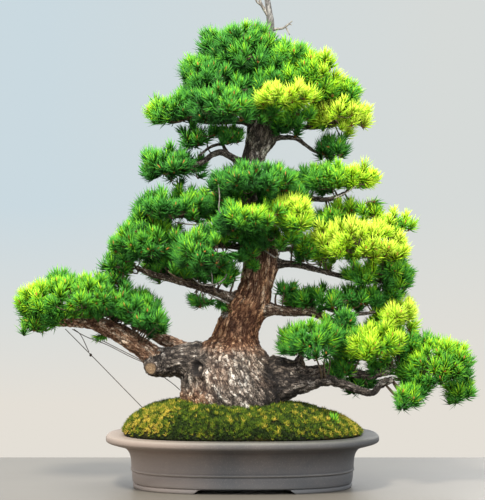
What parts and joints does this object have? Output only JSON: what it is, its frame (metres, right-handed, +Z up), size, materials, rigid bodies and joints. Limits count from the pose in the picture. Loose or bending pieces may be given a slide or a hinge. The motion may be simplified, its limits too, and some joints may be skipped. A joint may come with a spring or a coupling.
{
  "type": "potted pine bonsai",
  "caption": "Old pine bonsai with a swollen flaking trunk and layered needle pads, standing in moss in an oval stoneware tray.",
  "frame": {"origin": "on the surface the pot stands on, under the middle of the tree's box, which is the middle of the pot to within 7 mm", "axes": "+Z up the tree, +X to the right seen from the show side, -Y towards the viewer on the show side"},
  "size_m": [1.0461, 0.5081, 1.1504],
  "materials": {
    "stoneware": "matte unglazed",
    "plastic_mesh": "matte",
    "soil": "matte",
    "moss": "matte",
    "bark": "matte",
    "needles": "satin",
    "wire": "satin"
  },
  "bodies": {
    "root": {"pot": "stoneware", "drain_screen_left": "plastic_mesh", "drain_screen_right": "plastic_mesh", "soil": "soil", "moss": "moss", "trunk": "bark", "limb_left_log": "bark", "limb_left_rise": "bark", "limb_left_rear": "bark", "branch_left_mid": "bark", "branch_left_inner": "bark", "branch_left_high": "bark", "branch_left_upper": "bark", "branch_left_crown": "bark", "branch_right_base_upper": "bark", "branch_right_base_lower": "bark", "branch_right_lower": "bark", "branch_right_mid": "bark", "branch_right_upper": "bark", "branch_right_top": "bark", "branch_right_crown": "bark", "branch_rear_mid": "bark", "foliage_crown_top": "needles", "foliage_crown_right": "needles", "foliage_crown_left": "needles", "foliage_crown_rear": "needles", "foliage_tier_left": "needles", "foliage_tier_front": "needles", "foliage_tier_front_right": "needles", "foliage_tier_right": "needles", "foliage_upper_left": "needles", "foliage_upper_right": "needles", "foliage_upper_rear": "needles", "foliage_mid_right": "needles", "foliage_mid_front": "needles", "foliage_mid_left": "needles", "foliage_left_end": "needles", "foliage_left_inner": "needles", "foliage_front_centre": "needles", "foliage_front_right": "needles", "foliage_right_big": "needles", "foliage_right_end": "needles", "foliage_under_left": "needles", "foliage_low_row": "needles", "foliage_low_bright": "needles", "foliage_low_inner": "needles", "foliage_low_centre": "needles", "foliage_low_outer": "needles", "foliage_hanging": "needles", "foliage_left_low": "needles", "foliage_left_lobe": "needles", "foliage_rear_right": "needles", "foliage_rear_centre": "needles", "foliage_rear_left": "needles", "wire_guy": "wire", "wire_guy_tail": "wire", "wire_twist": "wire", "wire_brace": "wire", "wire_brace_low": "wire", "wire_knot": "wire"}
  },
  "joints": []
}
